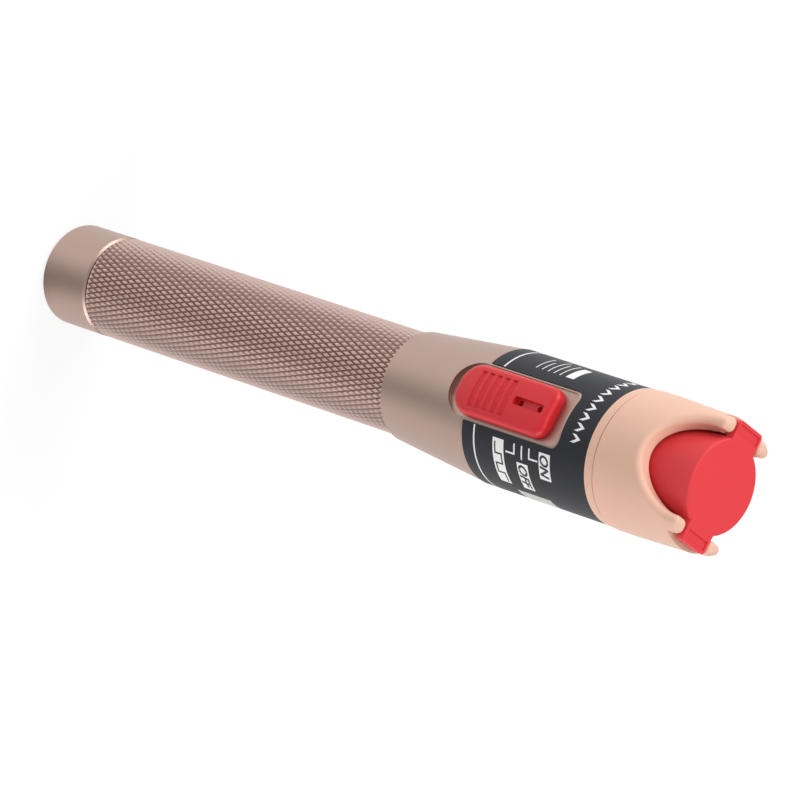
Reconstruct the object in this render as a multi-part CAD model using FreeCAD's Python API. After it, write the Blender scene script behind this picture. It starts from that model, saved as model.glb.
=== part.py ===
"""Pen-shaped visual fault locator, standing on its flat tail cap.

The origin is the centre of the tail cap's end face, +Z runs along the pen towards the light
output, and the mode button is on the -Y side. All sizes are in millimetres.
"""
import FreeCAD
import Part
import math
import os

Vector = FreeCAD.Vector

# ---------------------------------------------------------------- clearances
slip = 0.05             # radial gap of parts that slide or screw together
seat = 0.05             # gap under a part that rests on a stop but can leave it
loose = 0.3             # gap round soft or loosely held parts
beyond = 1.0            # how far a cutting tool runs past the face that it cuts
tiny = 1e-6             # for telling places apart

# ---------------------------------------------------------------- power cells
cell_radius = 7.1
cell_length = 50.5      # over the positive nub
cell_nub_radius = 2.7
cell_nub_height = 1.3
cell_edge_radius = 0.6
cell_count = 2
cell_room = 0.4         # radial gap round a cell

# ---------------------------------------------------------------- tail cap
tail_cap_radius = 10.05
tail_cap_length = 12.9
tail_cap_rear_round = 1.3
tail_cap_front_chamfer = 0.4
tail_floor = 2.6
tail_room = 2.6         # from the cap's floor to the tube's rear end
tail_contact_radius = 6.0
tail_contact_thickness = 0.5
spring_wire_radius = 0.4
spring_pressed_length = 5.5
spring_turns = 3.5
spring_base_radius = 5.2
spring_top_radius = 3.4
seal_thickness = 1.0
seal_squeeze = 0.05     # an O-ring stays this far inside its groove's walls
tail_seal_inset = 2.2   # from the grip's end to the seal's middle
tube_seal_inset = 2.6

# ---------------------------------------------------------------- battery tube
tube_radius = 10.0
tube_neck_length = 0.6
tube_neck_depth = 0.55
knurl_depth = 0.45
knurl_count = 30        # diamonds round the tube
knurl_pitch = 6.4       # length of one diamond
tube_spigot_wall = 1.35
front_spigot_length = 13.0   # the part of the tube inside the head sleeve

# ---------------------------------------------------------------- head sleeve
sleeve_radius = 12.85
sleeve_rear_radius = 10.7
sleeve_rear_chamfer = 0.35
sleeve_cone_length = 23.2
sleeve_bore_radius = 9.45
sleeve_web_thickness = 6.6   # from the laser holder's flange to the shoulder under the guard
sleeve_web_bore_radius = 6.6
sleeve_spigot_radius = 11.2
sleeve_spigot_length = 7.4
label_thickness = 0.12
label_setback = 1.0     # from the end of the cone to the label
label_window_rim = 0.45
label_corner_radius = 2.0

# ---------------------------------------------------------------- switch pocket and button
pocket_floor = 11.2    # distance of the pocket's floor from the pen's axis
pocket_side_gap = 0.45  # on each side of the button
pocket_front_gap = 1.5  # left in front of the button in its foremost position
pocket_rear_radius = 4.9
pocket_front_radius = 1.8
button_width = 10.0
button_rear_reach = 12.9     # from the lever to the button's rear end
button_front_reach = 11.1    # from the lever to its front end
button_top = 14.3       # distance of its highest point from the pen's axis
button_crest_offset = 0.5    # from the lever to the highest point
button_crown_radius = 17.0   # across the pen
button_long_radius = 110.0   # along the pen
button_rear_corner = 4.2
button_front_corner = 2.6
button_edge_round = 1.3
button_rib_count = 5
button_rib_pitch = 2.02
button_rib_width = 1.4
button_rib_depth = 0.35
button_rib_length = 7.2
button_rib_inset = 5.2       # from the button's rear end to the first rib's middle
button_slot_length = 7.2
button_slot_inset = 1.7      # from the slot to the button's front end
button_slot_width = 1.7
button_slot_corner = 0.5
button_slot_depth = 1.1
button_slot_pit_radius = 0.6
button_slot_pit_depth = 0.8
button_slot_pit_inset = 1.2    # from the slot's end to the pit's centre
mode_travel = 1.9       # from the middle to either end position
switch_length = 8.6
switch_width = 4.0
switch_height = 3.6
switch_top = 9.0        # distance of the switch body's top from the axis
switch_screw_gap = 1.8  # from the switch to the front screw's head
lever_length = 2.0
lever_width = 1.8
lever_foot_depth = 1.3
lever_reach = 12.4      # distance of the lever's tip from the axis

# ---------------------------------------------------------------- electronics
contact_radius = 6.0
contact_thickness = 0.5
contact_pin_radius = 0.6
insulator_thickness = 2.0
board_gap = 0.9         # from the insulator to the board
board_thickness = 1.2
board_width = 15.0
carrier_wall = 1.3
boss_radius = 2.1
screw_shank_radius = 1.0
screw_head_radius = 1.9
screw_head_height = 1.2
screw_length = 6.0
screw_rear_offset = 4.5
screw_front_offset = 4.1
screw_slot_width = 0.5
screw_slot_depth = 0.5
chip_length = 5.0
chip_width = 4.0
chip_height = 1.6
chip_gap = 3.4          # from the rear boss to the chip
capacitor_radius = 2.4
capacitor_length = 6.5
capacitor_gap = 1.0     # from the chip to the capacitor
front_boss_gap = 0.9    # from the capacitor to the front boss

# ---------------------------------------------------------------- laser and lens
laser_board_radius = 6.2
laser_board_thickness = 1.0
holder_flange = 2.4
holder_front_gap = 0.4  # from the holder's barrel to the adapter
diode_flange_radius = 2.8
diode_flange_thickness = 1.2
diode_can_radius = 2.35
diode_can_length = 2.4
diode_pin_radius = 0.22
diode_pin_circle = 1.27
diode_pin_count = 3
diode_depth = 3.4       # from the holder's rear face to the diode's seat
lens_radius = 3.0
lens_edge = 1.4
lens_bulge = 0.5
lens_seat_width = 0.6
lens_depth = 5.0        # from the diode's seat to the lens's seat
retainer_length = 1.5
retainer_hole_radius = 2.0

# ---------------------------------------------------------------- adapter for a 2.5 mm ferrule
ferrule_radius = 1.25
ferrule_sleeve_wall = 0.37
ferrule_sleeve_length = 11.0
ferrule_sleeve_slit = 0.4
adapter_tail_length = 4.1
adapter_flange_radius = 9.0
adapter_flange_thickness = 1.2
adapter_nose_radius = 5.6
adapter_nose_length = 4.6
adapter_sleeve_depth = 2.3   # from the adapter's rear face to the ferrule sleeve
beam_mouth_radius = 2.0      # where the beam enters, narrowing towards the ferrule
beam_hole_radius = 0.6
nut_radius = 7.2
nut_length = 8.0
nut_lip_thickness = 1.3
nut_mouth_radius = 1.45
nut_lead_in_radius = 2.3      # the mouth opens to this at the nut's face
nut_chamfer = 0.4
nut_flute_count = 18
nut_flute_radius = 0.45

# ---------------------------------------------------------------- nose guard
guard_step = 0.35       # how far the guard stands proud of the sleeve
guard_tip_radius = 12.8
guard_bore_radius = 9.35
guard_band_length = 1.9
guard_groove_width = 0.35
guard_groove_depth = 0.3
guard_ledge = 1.2
guard_ledge_hole_radius = 7.0
guard_straight_length = 6.4  # from the shoulder to where the guard starts to narrow
guard_over_cap = 0.2    # how far the prongs stand past the dust cap's face
notch_depth = 10.1
notch_root_radius = 8.8
notch_flare = 2.0       # degrees that the notch's sides open outwards
guard_edge_round = 1.1
guard_slot_depth = 2.8

# ---------------------------------------------------------------- dust cap
cap_room = 1.35         # from the adapter's nut to the cap's inner face
cap_radius = 9.05
cap_face_thickness = 2.5
cap_rim_round = 0.5
ear_width = 7.4
ear_reach = 12.1
ear_thickness = 1.6
ear_corner_radius = 0.9
ear_root_radius = 1.5   # hollow corner between an ear and the cap's rim
ear_rim = 0.6
ear_recess_depth = 0.25

# ---------------------------------------------------------------- places along the pen
tail_contact_start = tail_floor
spring_start = tail_contact_start + tail_contact_thickness
cells_start = spring_start + spring_pressed_length
cells_end = cells_start + cell_count * cell_length
tube_front = cells_end + contact_thickness
tube_rear = tail_floor + tail_room
grip_end = tube_front - front_spigot_length
tail_seal_middle = tail_cap_length - tail_seal_inset
tube_seal_middle = grip_end + tube_seal_inset

insulator_end = tube_front + insulator_thickness
board_start = insulator_end + board_gap
rear_screw_place = board_start + screw_rear_offset
chip_start = rear_screw_place + boss_radius + chip_gap
capacitor_start = chip_start + chip_length + capacitor_gap
front_screw_place = capacitor_start + capacitor_length + front_boss_gap + boss_radius
board_end = front_screw_place + screw_front_offset
laser_board_start = board_end
holder_start = laser_board_start + laser_board_thickness
diode_seat = holder_start + diode_depth
lens_start = diode_seat + lens_depth
lens_end = lens_start + lens_edge

cone_end = grip_end + sleeve_cone_length
label_start = cone_end + label_setback
sleeve_web_start = holder_start + holder_flange
sleeve_end = sleeve_web_start + sleeve_web_thickness
sleeve_front = sleeve_end + sleeve_spigot_length

switch_middle = front_screw_place - screw_head_radius - switch_screw_gap - switch_length / 2
button_start = switch_middle - button_rear_reach
button_end = switch_middle + button_front_reach
button_highest = switch_middle + button_crest_offset
button_slot_end = button_end - button_slot_inset
button_slot_start = button_slot_end - button_slot_length
pocket_start = button_start - mode_travel - loose
pocket_end = button_end + mode_travel + pocket_front_gap

ledge_end = sleeve_front + guard_ledge
adapter_rear = sleeve_front - adapter_tail_length
adapter_flange_end = ledge_end + adapter_flange_thickness
ferrule_start = adapter_rear + adapter_sleeve_depth
ferrule_end = ferrule_start + ferrule_sleeve_length
nut_end = ferrule_end + seat + nut_lip_thickness
nut_start = nut_end - nut_length
cap_skirt_start = adapter_flange_end + seat
cap_face = nut_end + cap_room + cap_face_thickness
ear_start = cap_face - ear_thickness
guard_tip = cap_face + guard_over_cap
notch_bottom = guard_tip - notch_depth

# ---------------------------------------------------------------- places across the pen
tube_bore_radius = cell_radius + cell_room
tail_spigot_radius = tube_bore_radius + tube_spigot_wall
front_spigot_radius = sleeve_bore_radius - slip
board_top = switch_top - switch_height
board_back = board_top - board_thickness
pocket_width = button_width + 2 * pocket_side_gap
ferrule_sleeve_radius = ferrule_radius + ferrule_sleeve_wall
guard_radius = sleeve_radius + guard_step


# ---------------------------------------------------------------- shared shapes
def turned(outline):
    """Solid of revolution about Z from (radius, height) corners."""
    points = [Vector(radius, 0, height) for radius, height in outline]
    face = Part.Face(Part.makePolygon(points + points[:1]))
    return face.revolve(Vector(0, 0, 0), Vector(0, 0, 1), 360)


def rod(radius, start, end, x=0.0, y=0.0):
    """Cylinder along Z."""
    return Part.makeCylinder(radius, end - start, Vector(x, y, start))


def ring(outer, inner, start, end):
    """Tube along Z."""
    return rod(outer, start, end).cut(rod(inner, start, end))


def crossbar(radius, low_y, high_y, x, z):
    """Cylinder along Y."""
    return Part.makeCylinder(radius, high_y - low_y, Vector(x, low_y, z), Vector(0, 1, 0))


def block(width, low_y, high_y, start, end):
    """Box centred on X = 0."""
    return Part.makeBox(width, high_y - low_y, end - start, Vector(-width / 2, low_y, start))


def edges_where(shape, test):
    """Edges whose middle passes the test."""
    return [edge for edge in shape.Edges if test(edge.CenterOfMass)]


def plan_slab(width, start, end, low_y, high_y, rear_radius, front_radius):
    """Slab seen from the button's side as a rounded rectangle, with its own corner radii."""
    slab = block(width, low_y, high_y, start, end)
    for place, radius in ((start, rear_radius), (end, front_radius)):
        if radius:
            corners = edges_where(slab, lambda p: abs(abs(p.x) - width / 2) < tiny and abs(p.z - place) < tiny)
            slab = slab.makeFillet(radius, corners)
    return slab


# ---------------------------------------------------------------- tail end
def tail_cap():
    """Cup with a flat end that the pen stands on, screwed over the tube's rear spigot."""
    cup = rod(tail_cap_radius, 0, tail_cap_length - seat)
    cup = cup.makeFillet(tail_cap_rear_round, edges_where(cup, lambda p: p.z < tiny))
    mouth = edges_where(cup, lambda p: p.z > tail_cap_length - 2 * seat)
    cup = cup.makeChamfer(tail_cap_front_chamfer, mouth)
    return cup.cut(rod(tail_spigot_radius + slip, tail_floor, tail_cap_length))


def seal_ring(radius, middle):
    """O-ring in a groove that leaves half its thickness proud of the radius."""
    centre = radius - seal_thickness / 2 - seal_squeeze
    return Part.makeTorus(centre, seal_thickness / 2 - seal_squeeze, Vector(0, 0, middle))


def seal_groove(radius, middle):
    """Groove for an O-ring, open to the outside of a spigot."""
    half = seal_thickness / 2
    return ring(radius + beyond, radius - seal_thickness, middle - half, middle + half)


def tail_contact():
    return rod(tail_contact_radius, tail_contact_start, spring_start)


def tail_spring():
    """Conical wire spring at the length that the cells press it to. Each half turn is half a ring,
    tilted so that the next one carries on from it with no kink."""
    halves = round(2 * spring_turns)
    rise = (spring_pressed_length - 2 * spring_wire_radius) / halves
    shrink = (spring_base_radius - spring_top_radius) / halves
    pieces = []
    for index in range(halves):
        side = 1 if index % 2 == 0 else -1
        height = spring_start + spring_wire_radius + index * rise
        start = Vector(side * (spring_base_radius - index * shrink), 0, height)
        end = Vector(-side * (spring_base_radius - (index + 1) * shrink), 0, height + rise)
        section = Part.Face(Part.Wire(Part.makeCircle(spring_wire_radius, start, Vector(0, 1, 0))))
        axis = (end - start).cross(Vector(0, side, 0))
        pieces.append(section.revolve((start + end) / 2, axis, 180))
    return pieces[0].fuse(pieces[1:])


# ---------------------------------------------------------------- battery tube
def knurled_bar(radius, start, end):
    """Bar whose side is a diamond knurl: rows of low pyramids between crossing valleys."""
    rows = 2 * max(2, round((end - start) / knurl_pitch))
    step = (end - start) / rows

    def place(row, column):
        is_crest = (row + column) % 2 == 1 and 0 < row < rows
        reach = radius if is_crest else radius - knurl_depth
        angle = math.pi * column / knurl_count
        return Vector(reach * math.cos(angle), reach * math.sin(angle), start + row * step)

    def facet(*corners):
        return Part.Face(Part.makePolygon(list(corners) + [corners[0]]))

    faces = []
    for row in range(rows + 1):
        for column in range(2 * knurl_count):
            if (row + column) % 2 == 0:
                continue
            crest = place(row, column)
            for side in (-1, 1):
                beside = place(row, column + side)
                for end_row in (row - 1, row + 1):
                    if 0 <= end_row <= rows:
                        faces.append(facet(crest, beside, place(end_row, column)))
    for row in (0, rows):
        faces.append(facet(*[place(row, column) for column in range(2 * knurl_count)]))
    shell = Part.makeShell(faces)
    shell.sewShape()
    bar = Part.makeSolid(shell)
    if bar.Volume < 0:
        bar.reverse()
    return bar


def battery_tube():
    """Knurled grip with a plain spigot at each end and one bore for the cells."""
    grip_start = tail_cap_length + tube_neck_length
    neck = rod(tube_radius - tube_neck_depth, tail_cap_length, grip_start)
    rear_spigot = rod(tail_spigot_radius, tube_rear, tail_cap_length)
    front_spigot = rod(front_spigot_radius, grip_end, tube_front)
    rear_spigot = rear_spigot.cut(seal_groove(tail_spigot_radius, tail_seal_middle))
    front_spigot = front_spigot.cut(seal_groove(front_spigot_radius, tube_seal_middle))
    tube = knurled_bar(tube_radius, grip_start, grip_end)
    tube = tube.fuse([neck, rear_spigot, front_spigot])
    return tube.cut(rod(tube_bore_radius, tube_rear, tube_front))


def cell(index):
    """AA cell, positive nub towards the head."""
    start = cells_start + index * cell_length
    body = rod(cell_radius, start, start + cell_length - cell_nub_height)
    body = body.makeFillet(cell_edge_radius, edges_where(body, lambda p: math.hypot(p.x, p.y) < tiny))
    nub = rod(cell_nub_radius, start + cell_length - cell_nub_height, start + cell_length)
    return body.fuse(nub)


# ---------------------------------------------------------------- head sleeve
def head_sleeve():
    """Turned sleeve: a cone that grows out of the grip, a cylinder under the label, and a
    spigot for the nose guard, with a milled pocket for the mode button."""
    sleeve = turned([
        (sleeve_bore_radius, grip_end),
        (sleeve_rear_radius - sleeve_rear_chamfer, grip_end),
        (sleeve_rear_radius, grip_end + sleeve_rear_chamfer),
        (sleeve_radius, cone_end),
        (sleeve_radius, sleeve_end),
        (sleeve_spigot_radius, sleeve_end),
        (sleeve_spigot_radius, sleeve_front),
        (sleeve_web_bore_radius, sleeve_front),
        (sleeve_web_bore_radius, sleeve_web_start),
        (sleeve_bore_radius, sleeve_web_start),
    ])
    pocket = plan_slab(pocket_width, pocket_start, pocket_end, -sleeve_radius - beyond, -pocket_floor,
                       pocket_rear_radius, pocket_front_radius)
    lever_room = lever_length / 2 + mode_travel + loose
    lever_slot = plan_slab(lever_width + 2 * loose, switch_middle - lever_room, switch_middle + lever_room,
                           -pocket_floor - beyond, -switch_top + beyond,
                           lever_width / 2, lever_width / 2)
    return sleeve.cut([pocket, lever_slot])


def label_wrap():
    """Thin printed wrap with a window for the pocket that runs out at its rear edge."""
    inner = sleeve_radius + slip / 2
    wrap = ring(inner + label_thickness, inner, label_start, sleeve_end - slip)
    window = plan_slab(pocket_width + 2 * label_window_rim, pocket_start, pocket_end + label_window_rim,
                       -sleeve_radius - beyond, 0, 0, label_corner_radius)
    return wrap.cut(window)


# ---------------------------------------------------------------- mode switch
def button_drop(place):
    """How far the button's ridge lies below its highest point at a place along the pen."""
    return (place - button_highest) ** 2 / (2 * button_long_radius)


def slide_button():
    """Thumb button, crowned both ways: a wide round rear end, cross ribs and a pointer slot."""
    base = -pocket_floor - seat
    button = plan_slab(button_width, button_start, button_end, -button_top, base,
                       button_rear_corner, button_front_corner)
    crown = Part.makeTorus(button_long_radius - button_crown_radius, button_crown_radius,
                           Vector(0, button_long_radius - button_top, button_highest), Vector(1, 0, 0))
    button = button.common(crown)
    button = button.makeFillet(button_edge_round, edges_where(button, lambda p: p.y < (base - button_top) / 2))
    for index in range(button_rib_count):
        button = button.cut(rib_groove(button_start + button_rib_inset + index * button_rib_pitch))
    slot_floor = -button_top + button_slot_depth
    slot = plan_slab(button_slot_width, button_slot_start, button_slot_end, -button_top - beyond, slot_floor,
                     button_slot_corner, button_slot_corner)
    pits = [crossbar(button_slot_pit_radius, -button_top, slot_floor + button_slot_pit_depth, 0, place)
            for place in (button_slot_start + button_slot_pit_inset, button_slot_end - button_slot_pit_inset)]
    lever_socket = block(lever_width, -lever_reach, base + beyond, switch_middle - lever_length / 2,
                         switch_middle + lever_length / 2)
    return button.cut([slot, lever_socket] + pits)


def rib_groove(middle):
    """Shallow round-bottomed groove across the button's crown."""
    radius = (button_rib_width ** 2 / 4 + button_rib_depth ** 2) / (2 * button_rib_depth)
    centre = button_crown_radius - button_top + button_drop(middle)
    path_radius = button_crown_radius - button_rib_depth + radius
    groove = Part.makeTorus(path_radius, radius, Vector(0, centre, middle))
    return groove.common(block(button_rib_length, -button_top - 2 * beyond, 0, middle - radius, middle + radius))


def switch_body():
    """Slide switch on the board, with a slot that its lever runs in."""
    body = block(switch_width, -switch_top, -board_top, switch_middle - switch_length / 2,
                 switch_middle + switch_length / 2)
    run = lever_length / 2 + mode_travel + loose / 2
    slot = block(lever_width + 2 * slip, -switch_top - beyond, -switch_top + lever_foot_depth + slip,
                 switch_middle - run, switch_middle + run)
    return body.cut(slot)


def switch_lever():
    return block(lever_width, -lever_reach, -switch_top + lever_foot_depth, switch_middle - lever_length / 2,
                 switch_middle + lever_length / 2)


# ---------------------------------------------------------------- contacts and boards
def contact_pin_y():
    return -(board_top + board_back) / 2


def front_contact():
    """Brass disc that the front cell presses on, with a pin up to the board's edge."""
    disc = rod(contact_radius, cells_end, tube_front)
    return disc.fuse(rod(contact_pin_radius, tube_front, board_start, 0, contact_pin_y()))


def contact_insulator():
    disc = rod(sleeve_bore_radius - 2 * slip, tube_front, insulator_end)
    return disc.cut(rod(contact_pin_radius + slip, tube_front, insulator_end, 0, contact_pin_y()))


def screw_places():
    return (rear_screw_place, front_screw_place)


def driver_board():
    board = block(board_width, -board_top, -board_back, board_start, board_end)
    holes = [crossbar(screw_shank_radius + slip, -board_top, -board_back, 0, z) for z in screw_places()]
    return board.cut(holes)


def board_carrier():
    """Open-sided plastic shell in the sleeve's bore, with two bosses that hold the board."""
    outer = sleeve_bore_radius - 3 * slip
    shell = ring(outer, outer - carrier_wall, insulator_end, holder_start)
    shell = shell.cut(block(4 * outer, -2 * outer, -board_back, insulator_end, holder_start))
    bosses = [crossbar(boss_radius, -board_back, outer - carrier_wall / 2, 0, z) for z in screw_places()]
    holes = [crossbar(screw_shank_radius, -board_back, -board_top + screw_length, 0, z) for z in screw_places()]
    return shell.fuse(bosses).cut(holes)


def board_screws():
    """Two pan-head screws, each with a driver slot."""
    screws = []
    for z in screw_places():
        head = crossbar(screw_head_radius, -board_top - screw_head_height, -board_top, 0, z)
        shank = crossbar(screw_shank_radius - slip, -board_top, -board_top + screw_length - slip, 0, z)
        slot_floor = -board_top - screw_head_height + screw_slot_depth
        slot = block(3 * screw_head_radius, slot_floor - beyond, slot_floor, z - screw_slot_width / 2,
                     z + screw_slot_width / 2)
        screws.append(head.fuse(shank).cut(slot))
    return Part.makeCompound(screws)


def driver_chip():
    return block(chip_width, -board_back, -board_back + chip_height, chip_start, chip_start + chip_length)


def board_capacitor():
    return rod(capacitor_radius, capacitor_start, capacitor_start + capacitor_length, 0,
               -board_back + capacitor_radius)


# ---------------------------------------------------------------- laser
def pin_places():
    step = 2 * math.pi / diode_pin_count
    return [(diode_pin_circle * math.cos(i * step), diode_pin_circle * math.sin(i * step))
            for i in range(diode_pin_count)]


def laser_board():
    disc = rod(laser_board_radius, laser_board_start, holder_start)
    holes = [rod(diode_pin_radius + slip, laser_board_start, holder_start, x, y) for x, y in pin_places()]
    return disc.cut(holes)


def laser_holder():
    """Brass barrel that lines up the diode and the lens, with a flange against the web."""
    barrel_end = adapter_rear - holder_front_gap
    barrel_radius = sleeve_web_bore_radius - slip
    solid = rod(sleeve_bore_radius - slip, holder_start, sleeve_web_start)
    solid = solid.fuse(rod(barrel_radius, sleeve_web_start, barrel_end))
    diode_room = rod(diode_flange_radius + slip, holder_start, diode_seat)
    light_path = rod(diode_can_radius + slip, holder_start, barrel_end)
    lens_room = rod(lens_radius + slip, lens_start, barrel_end)
    return solid.cut([diode_room, light_path, lens_room])


def laser_diode():
    """Metal-can diode with its pins through the small board behind it."""
    base_start = diode_seat - diode_flange_thickness
    can = rod(diode_can_radius, diode_seat, diode_seat + diode_can_length)
    base = rod(diode_flange_radius, base_start, diode_seat)
    pins = [rod(diode_pin_radius, laser_board_start - loose, base_start, x, y) for x, y in pin_places()]
    return base.fuse([can] + pins)


def focus_lens():
    """Lens with two bulging faces."""
    open_radius = lens_radius - lens_seat_width - slip
    bulge_radius = (open_radius ** 2 + lens_bulge ** 2) / (2 * lens_bulge)
    body = rod(lens_radius, lens_start, lens_end)
    window = rod(open_radius, lens_start - lens_bulge, lens_end + lens_bulge)
    rear = Part.makeSphere(bulge_radius, Vector(0, 0, lens_start - lens_bulge + bulge_radius))
    front = Part.makeSphere(bulge_radius, Vector(0, 0, lens_end + lens_bulge - bulge_radius))
    return body.fuse(window.common(rear).common(front))


def lens_retainer():
    return ring(lens_radius, retainer_hole_radius + lens_bulge, lens_end, lens_end + retainer_length)


# ---------------------------------------------------------------- fibre adapter
def adapter_body():
    """Stainless seat for the ferrule sleeve; its flange clamps the guard to the sleeve."""
    nose_end = adapter_flange_end + adapter_nose_length
    body = turned([
        (beam_mouth_radius, adapter_rear),
        (sleeve_web_bore_radius - slip, adapter_rear),
        (sleeve_web_bore_radius - slip, ledge_end),
        (adapter_flange_radius, ledge_end),
        (adapter_flange_radius, adapter_flange_end),
        (adapter_nose_radius, adapter_flange_end),
        (adapter_nose_radius, nose_end),
        (ferrule_sleeve_radius + slip, nose_end),
        (ferrule_sleeve_radius + slip, ferrule_start),
        (beam_hole_radius, ferrule_start),
    ])
    return body


def ferrule_sleeve():
    """Split ceramic sleeve that grips a 2.5 mm ferrule."""
    tube = ring(ferrule_sleeve_radius, ferrule_radius, ferrule_start, ferrule_end)
    slit = Part.makeBox(ferrule_sleeve_slit, 2 * ferrule_sleeve_radius, ferrule_sleeve_length,
                        Vector(-ferrule_sleeve_slit / 2, 0, ferrule_start))
    return tube.cut(slit)


def adapter_nut():
    """Fluted cap nut that keeps the ferrule sleeve in; its mouth is a cone that leads the ferrule in."""
    nut = rod(nut_radius, nut_start, nut_end)
    nut = nut.makeChamfer(nut_chamfer, edges_where(nut, lambda p: p.z > nut_end - tiny))
    thread_end = adapter_flange_end + adapter_nose_length + loose
    inside = [
        rod(adapter_nose_radius + slip, nut_start, thread_end),
        rod(ferrule_sleeve_radius + slip, nut_start, ferrule_end + seat),
        Part.makeCone(nut_mouth_radius, nut_lead_in_radius, nut_lip_thickness,
                      Vector(0, 0, nut_end - nut_lip_thickness)),
    ]
    flutes = []
    for index in range(nut_flute_count):
        angle = 2 * math.pi * index / nut_flute_count
        flutes.append(rod(nut_flute_radius, nut_start, nut_end, nut_radius * math.cos(angle),
                          nut_radius * math.sin(angle)))
    return nut.cut(inside + flutes)


# ---------------------------------------------------------------- nose guard and dust cap
def notch_cutter():
    """Bar along Y whose section is the guard's U: a round root with sides that flare."""
    flare = math.radians(notch_flare)
    centre_z = notch_bottom + notch_root_radius
    side_x = notch_root_radius * math.cos(flare)
    side_z = centre_z - notch_root_radius * math.sin(flare)
    top_z = guard_tip + beyond
    top_x = side_x + (top_z - side_z) * math.tan(flare)
    low_y = -guard_radius - beyond
    arc = Part.Arc(Vector(side_x, low_y, side_z), Vector(0, low_y, notch_bottom), Vector(-side_x, low_y, side_z))
    outline = Part.Wire([
        arc.toShape(),
        Part.makeLine(Vector(-side_x, low_y, side_z), Vector(-top_x, low_y, top_z)),
        Part.makeLine(Vector(-top_x, low_y, top_z), Vector(top_x, low_y, top_z)),
        Part.makeLine(Vector(top_x, low_y, top_z), Vector(side_x, low_y, side_z)),
    ])
    return Part.Face(outline).extrude(Vector(0, 2 * (guard_radius + beyond), 0))


def nose_guard():
    """Plastic crown round the light output: two wide notches, and two pairs of prongs whose
    slots hold the dust cap's ears."""
    groove_start = sleeve_end + guard_band_length
    groove_end = groove_start + guard_groove_width
    guard = turned([
        (sleeve_spigot_radius + slip, sleeve_end),
        (guard_radius - guard_groove_depth / 2, sleeve_end),
        (guard_radius - guard_groove_depth / 2, groove_start),
        (guard_radius - guard_groove_depth, groove_start),
        (guard_radius - guard_groove_depth, groove_end),
        (guard_radius, groove_end),
        (guard_radius, sleeve_end + guard_straight_length),
        (guard_tip_radius, guard_tip),
        (guard_bore_radius, guard_tip),
        (guard_bore_radius, ledge_end),
        (guard_ledge_hole_radius, ledge_end),
        (guard_ledge_hole_radius, sleeve_front),
        (sleeve_spigot_radius + slip, sleeve_front),
    ])
    guard = guard.cut(notch_cutter())
    slot_width = ear_width + 2 * loose
    slot_floor = guard_tip - guard_slot_depth
    slots = Part.makeBox(4 * guard_radius, slot_width, guard_tip,
                         Vector(-2 * guard_radius, -slot_width / 2, slot_floor))
    guard = guard.cut(slots)
    crown_edges = edges_where(guard, lambda p: p.z > notch_bottom - slip and abs(p.z - slot_floor) > slip)
    return guard.makeFillet(guard_edge_round, crown_edges)


def cap_ear(side):
    """Flat ear that lies in the slot between two prongs, with a rim round its top."""
    length = ear_reach - cap_radius / 2
    start_x = side * (ear_reach - length / 2) - length / 2
    ear = Part.makeBox(length, ear_width, ear_thickness, Vector(start_x, -ear_width / 2, ear_start))
    ends = edges_where(ear, lambda p: abs(p.x - side * ear_reach) < tiny and abs(abs(p.y) - ear_width / 2) < tiny)
    ear = ear.makeFillet(ear_corner_radius, ends)
    hollow_length = ear_reach - cap_radius - 2 * ear_rim
    hollow_width = ear_width - 2 * ear_rim
    hollow_x = side * (ear_reach - ear_rim - hollow_length / 2) - hollow_length / 2
    hollow_floor = cap_face - ear_recess_depth
    hollow = Part.makeBox(hollow_length, hollow_width, beyond, Vector(hollow_x, -hollow_width / 2, hollow_floor))
    return ear.cut(hollow)


def dust_cap():
    """Soft cap over the adapter, pulled off by its two ears, which run into its rim in a curve."""
    body = rod(cap_radius, cap_skirt_start, cap_face)
    body = body.makeFillet(cap_rim_round, edges_where(body, lambda p: p.z > cap_face - tiny))
    ears = rod(cap_radius - cap_rim_round, ear_start, cap_face).fuse([cap_ear(-1), cap_ear(1)])
    roots = edges_where(ears, lambda p: abs(math.hypot(p.x, p.y) - cap_radius + cap_rim_round) < tiny
                        and abs(abs(p.y) - ear_width / 2) < tiny)
    ears = ears.makeFillet(ear_root_radius, roots)
    body = body.fuse(ears)
    return body.cut(rod(nut_radius + loose / 2, cap_skirt_start, cap_face - cap_face_thickness))


# ---------------------------------------------------------------- all parts
def all_parts():
    parts = {
        "tail_cap": tail_cap(),
        "tail_contact": tail_contact(),
        "tail_spring": tail_spring(),
        "tail_seal": seal_ring(tail_spigot_radius, tail_seal_middle),
        "battery_tube": battery_tube(),
        "tube_seal": seal_ring(front_spigot_radius, tube_seal_middle),
        "front_contact": front_contact(),
        "contact_insulator": contact_insulator(),
        "head_sleeve": head_sleeve(),
        "label_wrap": label_wrap(),
        "slide_button": slide_button(),
        "switch_body": switch_body(),
        "switch_lever": switch_lever(),
        "driver_board": driver_board(),
        "driver_chip": driver_chip(),
        "board_capacitor": board_capacitor(),
        "board_carrier": board_carrier(),
        "board_screws": board_screws(),
        "laser_board": laser_board(),
        "laser_holder": laser_holder(),
        "laser_diode": laser_diode(),
        "focus_lens": focus_lens(),
        "lens_retainer": lens_retainer(),
        "adapter_body": adapter_body(),
        "ferrule_sleeve": ferrule_sleeve(),
        "adapter_nut": adapter_nut(),
        "nose_guard": nose_guard(),
        "dust_cap": dust_cap(),
    }
    for index, name in enumerate(("rear_cell", "front_cell")):
        parts[name] = cell(index)
    return parts


os.makedirs("parts", exist_ok=True)
for node, shape in all_parts().items():
    shape.exportStep(f"parts/{node}.step")
    print(f"{node}: valid {shape.isValid()}, solids {len(shape.Solids)}, {shape.Volume:.1f} mm3")
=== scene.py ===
# %% [markdown]
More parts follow.
